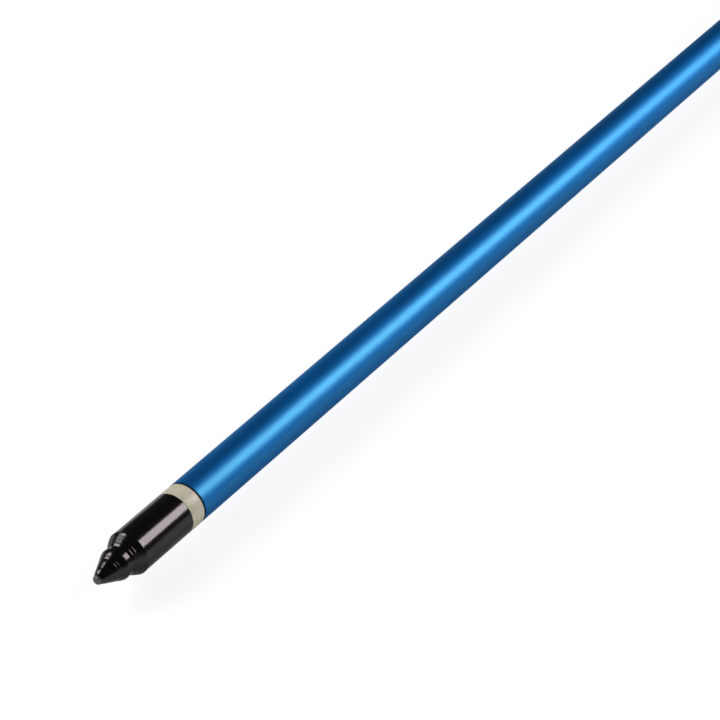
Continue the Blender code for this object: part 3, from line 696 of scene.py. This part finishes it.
def build_lock_body():
    """The lock's fixed body: a collar on the tube, a notched stop, a coarse thread and a plain collet."""
    start, end = edges("lock_body")
    mouth = edges("outer_tube")[1]
    tube_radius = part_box("outer_tube")[1].z / MM
    stop_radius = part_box("lock_body")[1].z / MM
    grip_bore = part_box("inner_tube")[1].z / MM + RUNNING_GAP
    stop = mouth - STOP_BACK
    stop_end = stop + STOP_WIDTH
    thread_start = mouth - THREAD_BACK
    thread_end = mouth + THREAD_FRONT
    cone_start = mouth + COLLET_CONE_START
    shoulder = mouth + FACE_GAP
    tube_bore = tube_radius + PRESS_GAP
    outline = [(start, tube_bore), (start, tube_radius + COLLAR_LIP, 0.4)]
    outline += [(start + COLLAR_RAMP, COLLAR_RADIUS, 1.5)]
    outline += [(stop - 0.6, COLLAR_RADIUS), (stop, COLLAR_RADIUS, 0.3), (stop, stop_radius, 0.7)]
    outline += [(stop_end, stop_radius, 0.4), (stop_end, COLLAR_RADIUS, 0.3)]
    outline += line(stop + 3.4, COLLAR_RADIUS, thread_start, COLLAR_RADIUS, 2)
    outline += line(thread_start, COLLAR_RADIUS, thread_end, COLLAR_RADIUS, 40)
    outline += [(thread_end + 1.5, COLLET_RADIUS, 0.3), (cone_start, COLLET_RADIUS)]
    outline += [(end, COLLET_TIP_RADIUS, 0.3), (end, grip_bore)]
    outline += [(shoulder, grip_bore), (shoulder, tube_bore)]

    def surface(x, radius, angle):
        if stop + 0.4 < x < stop + 2.6 and radius > stop_radius - 0.05:
            return radius - NOTCH_DEPTH * (0.5 - 0.5 * math.cos(STOP_NOTCHES * angle))
        if thread_start < x < thread_end and abs(radius - COLLAR_RADIUS) < 0.01:
            share = min(1.0, (x - thread_start) / THREAD_RUNOUT, (thread_end - x) / THREAD_RUNOUT)
            wave = 0.5 + 0.5 * math.cos(TURN * (x - mouth) / THREAD_LEAD - angle)
            return radius + THREAD_DEPTH * share * wave
        return radius

    outline = with_rim_rings(rounded(outline), stop, stop_radius)
    mesh = turned_mesh(outline, LOCK_BODY_SIDES, surface)
    add_piece("lock_body", mesh, "black_nylon", "handle", "lock_body")


def build_lock_nut():
    """The fluted nut, with a band at each end and its inner grooves."""
    back, front = edges("lock_nut")
    mouth = edges("outer_tube")[1]
    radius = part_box("lock_nut")[1].y / MM
    wall = mouth + NUT_WALL_FRONT
    flute_start = back + 5.5
    flute_end = front - 9.5
    band = radius - NUT_BAND_DEPTH
    outline = [(back, NUT_BORE, 0.2), (back, radius - 0.3, 0.8), (back + 3.6, radius - 0.3, 0.5)]
    outline += [(back + 4.1, band, 0.3), (back + 4.9, band, 0.3), (back + 5.4, radius, 0.4)]
    outline += line(flute_start, radius, flute_end, radius, FLUTE_STEPS)
    outline += [(front - 8.6, radius, 0.4), (front - 8.1, band, 0.3)]
    outline += [(front - 7.3, band, 0.3), (front - 6.8, radius - 0.5, 0.4)]
    outline += [(front - 1.5, radius - 3.4, 2.0), (front, radius - 4.6, 0.8)]
    outline += [(front, NUT_MOUTH_RADIUS, 0.3), (front - 1.2, NUT_MOUTH_RADIUS)]
    outline += [(front - 1.2, WIPER_GROOVE_RADIUS), (front - 3.2, WIPER_GROOVE_RADIUS)]
    outline += [(front - 3.2, NUT_MOUTH_RADIUS), (wall, NUT_MOUTH_RADIUS), (wall, NUT_BORE)]
    outline += [(back + 2.15, NUT_BORE), (back + 2.15, RING_GROOVE_RADIUS)]
    outline += [(back + 0.85, RING_GROOVE_RADIUS), (back + 0.85, NUT_BORE)]

    def surface(x, place, angle):
        if flute_start - 0.01 < x < flute_end + 0.01 and place > radius - 0.05:
            ends = min(1.0, (x - flute_start) / FLUTE_RUNOUT, (flute_end - x) / FLUTE_RUNOUT)
            ends = math.sin(0.5 * math.pi * max(0.0, ends))
            scoop = 0.5 - 0.5 * math.cos(NUT_FLUTES * angle)
            return place - FLUTE_DEPTH * ends * scoop
        return place

    mesh = turned_mesh(rounded(outline), NUT_SIDES, surface)
    add_piece("lock_nut", mesh, "black_nylon", "nut", "lock_nut")


# ---------------------------------------------------------------- hook head


def hook_plan():
    """Plan of the flat part of the head, anticlockwise from the shank's back corner."""
    side = SHANK_HALF_WIDTH
    bend_y = side + BEND_INNER
    fillet_y = side + BEND_FILLET
    fillet_x = BEND_X + math.sqrt((BEND_OUTER + BEND_FILLET) ** 2 - (fillet_y - bend_y) ** 2)
    meet = math.degrees(math.atan2(fillet_y - bend_y, fillet_x - BEND_X))
    tip_y = bend_y + (BEND_OUTER + BEND_INNER) / 2 + HOOK_FLARE
    points = [(SHANK_START, -side)]
    points += arc(NOSE_X, 0, side, -90, 90, 28)
    points += arc(fillet_x, fillet_y, BEND_FILLET, 270, 180 + meet, 12)
    points += arc(BEND_X, bend_y, BEND_OUTER, meet, 90, 36)[1:]
    points += arc(HOOK_END_X, tip_y, HOOK_TIP_RADIUS, 90, 270, 24)
    points += arc(BEND_X, bend_y, BEND_INNER, 90, -90, 36)
    points += [(SHANK_START, side)]
    return points


def slab(plan, start, low, high, edge_round, steps):
    """A flat plate over a plan, with its long edges rounded."""
    mesh = bmesh.new()
    points = [mesh.verts.new(((start + x) * MM, y * MM, low * MM)) for x, y in plan]
    grown = bmesh.ops.extrude_face_region(mesh, geom=[mesh.faces.new(points)])["geom"]
    lifted = [item for item in grown if isinstance(item, bmesh.types.BMVert)]
    bmesh.ops.translate(mesh, vec=(0, 0, (high - low) * MM), verts=lifted)
    bmesh.ops.recalc_face_normals(mesh, faces=mesh.faces)
    rims = [edge for edge in mesh.edges if abs(edge.verts[0].co.z - edge.verts[1].co.z) < 1e-6]
    if edge_round > 0:
        bmesh.ops.bevel(
            mesh,
            geom=rims,
            offset=edge_round * MM,
            offset_type="OFFSET",
            segments=steps,
            profile=0.5,
            affect="EDGES",
        )
    return mesh


def loose(name, mesh):
    """A working object that isn't a piece yet."""
    data = bpy.data.meshes.new(name)
    mesh.to_mesh(data)
    mesh.free()
    made = bpy.data.objects.new(name, data)
    scene.collection.objects.link(made)
    return made


def carve(target, tool, operation):
    """Joins a tool object to the target or cuts it away, and removes the tool."""
    change = target.modifiers.new("cut", "BOOLEAN")
    change.solver = "EXACT"
    change.operation = operation
    change.object = tool
    bake(target)
    bpy.data.objects.remove(tool)


def bake(target):
    """Applies the modifiers on an object."""
    graph = bpy.context.evaluated_depsgraph_get()
    data = bpy.data.meshes.new_from_object(target.evaluated_get(graph))
    target.modifiers.clear()
    target.data = data


def socket_mesh(start):
    """The round socket, with a groove near its back, narrowing smoothly into the shank."""
    outline = [(start, 0), (start, SOCKET_RADIUS, 1.2), (start + 3.2, SOCKET_RADIUS, 0.4)]
    outline += [(start + 3.9, SOCKET_RADIUS - 0.7, 0.4), (start + 4.9, SOCKET_RADIUS - 0.7, 0.4)]
    outline += [(start + 5.6, SOCKET_RADIUS, 0.4), (start + SOCKET_LENGTH, SOCKET_RADIUS)]
    steps = 16
    for i in range(1, steps + 1):
        fall = (1 - math.cos(math.pi * i / steps)) / 2
        x = SOCKET_LENGTH + (SOCKET_TAPER_END - SOCKET_LENGTH) * i / steps
        outline.append((start + x, SOCKET_RADIUS + (SOCKET_TIP_RADIUS - SOCKET_RADIUS) * fall))
    outline += [(start + SOCKET_TAPER_END + 3, SOCKET_TIP_RADIUS - 3), (start + SOCKET_TAPER_END + 3, 0)]
    return turned_mesh(rounded(outline), HEAD_SIDES)


def build_hook_head():
    """The moulded head: socket and flat hook in one, with flats for the rivets and a pocket on each side."""
    start = edges("hook_head")[0]
    head = loose("head_blank", socket_mesh(start))
    height = SHANK_HALF_HEIGHT
    plate = slab(hook_plan(), start, -height, height, EDGE_ROUND, EDGE_STEPS)
    carve(head, loose("plate", plate), "UNION")
    for side in (1, -1):
        x = start + RIVET_X
        half = PAD_LENGTH / 2
        across = PAD_HALF_WIDTH
        plan = [(x - half, -across), (x + half, -across), (x + half, across), (x - half, across)]
        low, high = sorted((side * PAD_HEIGHT, side * (PAD_HEIGHT + PAD_CUT)))
        carve(head, loose("pad", slab(plan, 0, low, high, 0, 1)), "DIFFERENCE")
        half = POCKET_HALF_WIDTH
        plan = arc(POCKET_END, 0, half, -90, 90, 20) + arc(POCKET_START, 0, half, 90, 270, 20)
        low, high = sorted((side * (height - POCKET_DEPTH), side * (height + 2)))
        carve(head, loose("pocket", slab(plan, start, low, high, 0, 1)), "DIFFERENCE")
    remesh = head.modifiers.new("remesh", "REMESH")
    remesh.mode = "VOXEL"
    remesh.voxel_size = HEAD_VOXEL * MM
    smooth = head.modifiers.new("smooth", "SMOOTH")
    smooth.factor = HEAD_SMOOTHING
    smooth.iterations = HEAD_SMOOTH_PASSES
    bake(head)
    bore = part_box("inner_tube")[1].z / MM + PRESS_GAP
    outline = [(start - 2, 0), (start - 2, bore), (start + SOCKET_DEPTH, bore), (start + SOCKET_DEPTH, 0)]
    carve(head, loose("bore", turned_mesh(outline, HEAD_SIDES)), "DIFFERENCE")
    mesh = bmesh.new()
    mesh.from_mesh(head.data)
    bpy.data.objects.remove(head)
    add_piece("hook_head", mesh, "black_nylon", "extension", "hook_head")


def build_rivets():
    """A domed rivet with a dimple in its head, on each flat of the socket."""
    for name, side in (("head_rivet_upper", 1), ("head_rivet_lower", -1)):
        low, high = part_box(name)
        centre = (low.x + high.x) / 2
        seat = PAD_HEIGHT + RIVET_SEAT_GAP
        top = seat + RIVET_HEAD_HEIGHT
        outline = [(top - 0.8, 0), (top - 0.8, 0.75), (top - 0.05, 0.85, 0.1), (top, 1.2, 0.3)]
        outline += [(seat + 0.85, 2.5, 0.6), (seat + 0.3, 3.15, 0.3), (seat, 3.3, 0.1)]
        outline += [(seat, RIVET_RADIUS), (RIVET_FOOT, RIVET_RADIUS), (RIVET_FOOT, 0)]
        mesh = turned_mesh(rounded(outline), RIVET_SIDES)
        turn = Matrix.Rotation(-side * math.pi / 2, 4, "Y")
        place = Matrix.Translation(Vector((centre, 0, 0)))
        bmesh.ops.transform(mesh, matrix=place @ turn, verts=mesh.verts)
        add_piece(name, mesh, "stainless", "extension", name)


# ---------------------------------------------------------------- hidden pieces


def finish_cad_nodes():
    """CAD pieces whose shape is right stay, and take the finer materials."""
    slots = {entry["node"]: entry["material_slot"] for entry in frame["record"]["subparts"]}
    for name, node in frame["nodes"].items():
        for slot in node.material_slots:
            slot.material = MATERIALS[slots[name]]
        node.data.shade_smooth()
        node.data.set_sharp_from_angle(angle=SHARP)


# ---------------------------------------------------------------- studio


def build_floor():
    """A plain pale floor: nearly white to the camera, and a plain grey in reflections and bounced light."""
    mesh = bmesh.new()
    bmesh.ops.create_grid(mesh, x_segments=1, y_segments=1, size=FLOOR_HALF_SIZE)
    bmesh.ops.translate(mesh, vec=(0, 0, cad_low.z - FLOOR_DROP), verts=mesh.verts)
    data = bpy.data.meshes.new("floor")
    mesh.to_mesh(data)
    mesh.free()
    made, graph = new_material("floor")
    grain = graph.noise(EVEN, 3.0, detail=3.0)
    seen = graph.ramp(grain, (0.3, (0.24, 0.24, 0.24)), (0.7, (0.26, 0.26, 0.26)))
    paper = graph.add("ShaderNodeBsdfDiffuse", {"Color": seen})
    glow = graph.add("ShaderNodeEmission", {"Color": (*WHITE, 1.0), "Strength": FLOOR_GLOW})
    bright = graph.add("ShaderNodeAddShader", {0: paper, 1: glow})
    plain = graph.add("ShaderNodeBsdfDiffuse", {"Color": FLOOR_BOUNCE})
    rays = graph.add("ShaderNodeLightPath")
    mix = graph.add("ShaderNodeMixShader", {0: rays.outputs["Is Camera Ray"], 1: plain, 2: bright})
    graph.add("ShaderNodeOutputMaterial", {"Surface": mix.outputs[0]})
    data.materials.append(made)
    floor = bpy.data.objects.new("floor", data)
    scene.collection.objects.link(floor)


def build_world():
    """A pale surround: white to the camera, dim overhead and brighter near the horizon in reflections."""
    world = bpy.data.worlds.new("studio")
    world.use_nodes = True
    graph = Graph(world.node_tree)
    place = graph.add("ShaderNodeTexCoord")
    split = graph.add("ShaderNodeSeparateXYZ", {0: place.outputs["Generated"]})
    stops = ((0.0, (0.06, 0.06, 0.06)), (0.35, (0.035, 0.035, 0.035)), (0.7, (0.015, 0.015, 0.015)))
    dim = graph.ramp(split.outputs["Z"], *stops)
    rays = graph.add("ShaderNodeLightPath")
    around = graph.add("ShaderNodeBackground", {"Color": dim})
    white = graph.add("ShaderNodeBackground", {"Color": SURROUND_WHITE})
    mix = graph.add("ShaderNodeMixShader", {0: rays.outputs["Is Camera Ray"], 1: around, 2: white})
    graph.add("ShaderNodeOutputWorld", {"Surface": mix.outputs[0]})
    scene.world = world


def add_softbox(name, x, reach, elevation, width, height, radiance, colour=WHITE, shines=True):
    """A rectangular light that faces the pole's axis at x, with its width along X. Elevation runs from the
    near side over the top. Without shines it leaves no reflection."""
    data = bpy.data.lights.new(name, "AREA")
    data.shape = "RECTANGLE"
    data.size = width
    data.size_y = height
    data.energy = math.pi * width * height * radiance
    data.color = colour
    light = bpy.data.objects.new(name, data)
    angle = math.radians(elevation)
    facing = Vector((0, -math.cos(angle), math.sin(angle)))
    across = Vector((1, 0, 0))
    up = facing.cross(across)
    turn = Matrix((across, up, facing)).transposed()
    light.matrix_world = Matrix.Translation(Vector((x, 0, 0)) + reach * facing) @ turn.to_4x4()
    light.visible_camera = False
    light.visible_glossy = shines
    scene.collection.objects.link(light)


def build_lights():
    """A long softbox in front draws the streak along the pole, one behind and above lights the butt's cones,
    and two fills, which leave no reflection, light the pale ring. Each is given its place along the pole, its
    reach from the axis, its elevation, its width and height, and its radiance."""
    add_softbox("front_softbox", 3.32, 3.0, 46.8, 2.5, 2.0, 7.0, colour=ROSE)
    add_softbox("back_softbox", -0.65, 2.0, 141.0, 1.4, 1.2, 5.5)
    add_softbox("near_fill", -0.25, 2.5, 12.0, 2.0, 1.6, 2.2, shines=False)
    add_softbox("top_fill", 0.0, 2.5, 125.0, 2.0, 1.6, 1.5, shines=False)


def build_camera():
    """The camera, behind and above the butt, turned towards the pole."""
    data = bpy.data.cameras.new("camera")
    data.lens = LENS
    camera = bpy.data.objects.new("camera", data)
    camera.location = Vector((-CAMERA_BACK, -CAMERA_SIDE, CAMERA_UP))
    camera.rotation_euler = Euler((math.radians(90 - CAMERA_PITCH), 0, math.radians(-CAMERA_YAW)))
    scene.collection.objects.link(camera)
    scene.camera = camera


build_butt()
build_tubes()
build_lock_body()
build_lock_nut()
build_hook_head()
build_rivets()
finish_cad_nodes()
build_floor()
build_world()
build_lights()
build_camera()
scene.view_settings.view_transform = "Standard"
